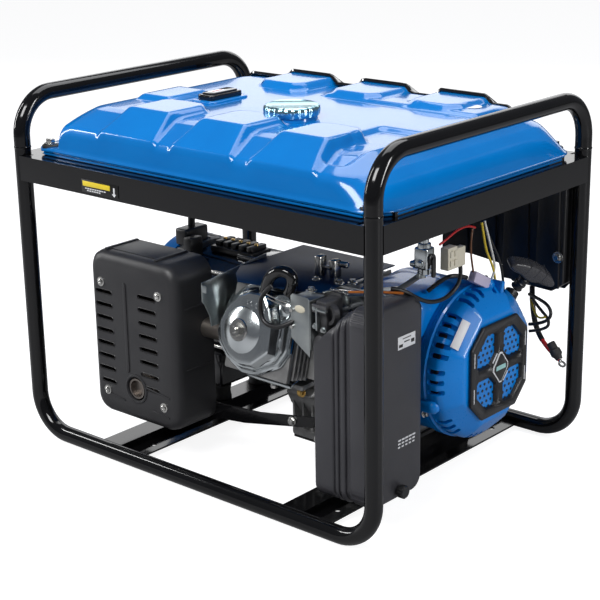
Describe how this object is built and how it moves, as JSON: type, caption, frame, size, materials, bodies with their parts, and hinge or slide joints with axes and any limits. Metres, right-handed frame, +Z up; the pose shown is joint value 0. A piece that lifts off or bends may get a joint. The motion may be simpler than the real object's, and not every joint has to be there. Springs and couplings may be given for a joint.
{
  "type": "portable generator",
  "caption": "Open tube frame petrol generator: tilted engine with recoil starter, alternator, muffler guard, air cleaner, fuel tank on top.",
  "frame": {"origin": "middle of the footprint, on the floor under the frame rails", "axes": "+X along the long side toward the starter end, +Y toward the control panel side, +Z up"},
  "size_m": [0.7, 0.52, 0.555],
  "materials": {
    "black_paint": "gloss",
    "rubber": "matt",
    "blue_paint": "gloss",
    "shield_paint": "satin",
    "muffler_steel": "dull",
    "cast_alloy": "as cast alloy",
    "zinc_sheet": "zinc plated",
    "steel": "machined",
    "alloy": "machined",
    "black_plastic": "satin",
    "cleaner_plastic": "satin",
    "mesh_paint": "gloss",
    "rope": "braided",
    "red_lead": "satin",
    "chrome": "polished"
  },
  "bodies": {
    "machine": {"air_cleaner_base": "cleaner_plastic", "air_cleaner_cover": "cleaner_plastic", "alternator_adapter": "black_paint", "alternator_shell": "shield_paint", "baffle_plate": "zinc_sheet", "battery_lead": "red_lead", "blower_housing": "blue_paint", "carburettor": "cast_alloy", "carry_handle_left": "black_paint", "carry_handle_right": "black_paint", "control_box": "black_plastic", "control_bracket": "zinc_sheet", "control_panel": "black_plastic", "crankcase": "cast_alloy", "crankcase_cover": "cast_alloy", "cross_beam_left": "black_paint", "cross_beam_right": "black_paint", "cylinder_head": "cast_alloy", "cylinder_shroud": "blue_paint", "end_bell": "cast_alloy", "end_cover": "blue_paint", "engine_base": "black_paint", "exhaust_pipe": "muffler_steel", "frame_front_tube": "black_paint", "frame_rear_tube": "black_paint", "fuel_gauge": "black_plastic", "fuel_hose": "rubber", "fuel_tank": "blue_paint", "fuel_valve": "alloy", "grille_mesh": "mesh_paint", "muffler_body": "muffler_steel", "muffler_shield": "shield_paint", "muffler_stay": "black_paint", "piston": "alloy", "plug_cap": "rubber", "recoil_cover": "blue_paint", "recoil_grille": "black_plastic", "rubber_mounts": "rubber", "stator": "steel", "tank_cushions": "rubber", "top_bar_front": "black_paint", "top_bar_left": "black_paint", "top_bar_rear": "black_paint", "top_bar_right": "black_paint", "valve_cover": "zinc_sheet"},
    "flywheel_set": {"crankshaft": "steel", "flywheel": "alloy", "rotor": "steel"},
    "rod": {"connecting_rod": "steel"},
    "reel": {"recoil_reel": "black_plastic"},
    "starter_grip": {"pull_handle": "black_plastic", "starter_rope": "rope"},
    "cap": {"fuel_cap": "chrome"},
    "valve_lever": {"fuel_valve_lever": "black_plastic"},
    "choke": {"choke_lever": "steel"},
    "rocker": {"engine_switch": "black_plastic"},
    "breaker_button": {"breaker": "black_plastic"},
    "lid": {"socket_lid": "black_plastic"},
    "cleaner_knob": {"air_cleaner_knob": "cleaner_plastic"},
    "dipstick": {"oil_dipstick": "black_plastic"}
  },
  "joints": [
    {"name": "crank_spin", "type": "hinge", "parent": "machine", "child": "flywheel_set", "pos_m": [0, 0.045, 0.182], "axis": [1, 0, 0], "continuous": true},
    {"name": "rod_swing", "type": "hinge", "parent": "flywheel_set", "child": "rod", "pos_m": [0.081, 0.01409, 0.19028], "axis": [1, 0, 0], "continuous": true},
    {"name": "reel_spin", "type": "hinge", "parent": "machine", "child": "reel", "pos_m": [0.3, 0.045, 0.182], "axis": [1, 0, 0], "range_deg": [-573, 0]},
    {"name": "pull_slide", "type": "slide", "parent": "machine", "child": "starter_grip", "axis": [0.5998, 0.1999, 0.7748], "range_m": [0, 0.55], "stiffness_N_per_m": 20},
    {"name": "cap_turn", "type": "hinge", "parent": "machine", "child": "cap", "pos_m": [0.045, -0.065, 0.53], "axis": [0, 0, 1], "range_deg": [0, 90]},
    {"name": "fuel_valve_turn", "type": "hinge", "parent": "machine", "child": "valve_lever", "pos_m": [0.297, -0.07, 0.362], "axis": [1, 0, 0], "range_deg": [-90, 0]},
    {"name": "choke_turn", "type": "hinge", "parent": "machine", "child": "choke", "pos_m": [0.172, -0.17, 0.25], "axis": [0, 1, 0], "range_deg": [0, 45]},
    {"name": "switch_rock", "type": "hinge", "parent": "machine", "child": "rocker", "pos_m": [0.296, 0.256, 0.367], "axis": [1, 0, 0], "range_deg": [0, 12]},
    {"name": "breaker_press", "type": "slide", "parent": "machine", "child": "breaker_button", "axis": [0, 1, 0], "range_m": [-0.002, 0]},
    {"name": "lid_swing", "type": "hinge", "parent": "machine", "child": "lid", "pos_m": [0.145, 0.258, 0.35], "axis": [1, 0, 0], "range_deg": [0, 100], "stiffness_Nm_per_rad": 0.01},
    {"name": "cleaner_knob_turn", "type": "hinge", "parent": "machine", "child": "cleaner_knob", "pos_m": [0.316, -0.155, 0.058], "axis": [1, 0, 0], "range_deg": [0, 720]},
    {"name": "dipstick_turn", "type": "hinge", "parent": "machine", "child": "dipstick", "pos_m": [0.06, 0.13, 0.1], "axis": [0, 1, 0], "range_deg": [0, 720]}
  ],
  "couplings": [
    {"joint": "rod_swing", "follows": "crank_spin", "ratio": -1},
    {"joint": "reel_spin", "follows": "pull_slide", "rad_per_m": -18.182}
  ]
}
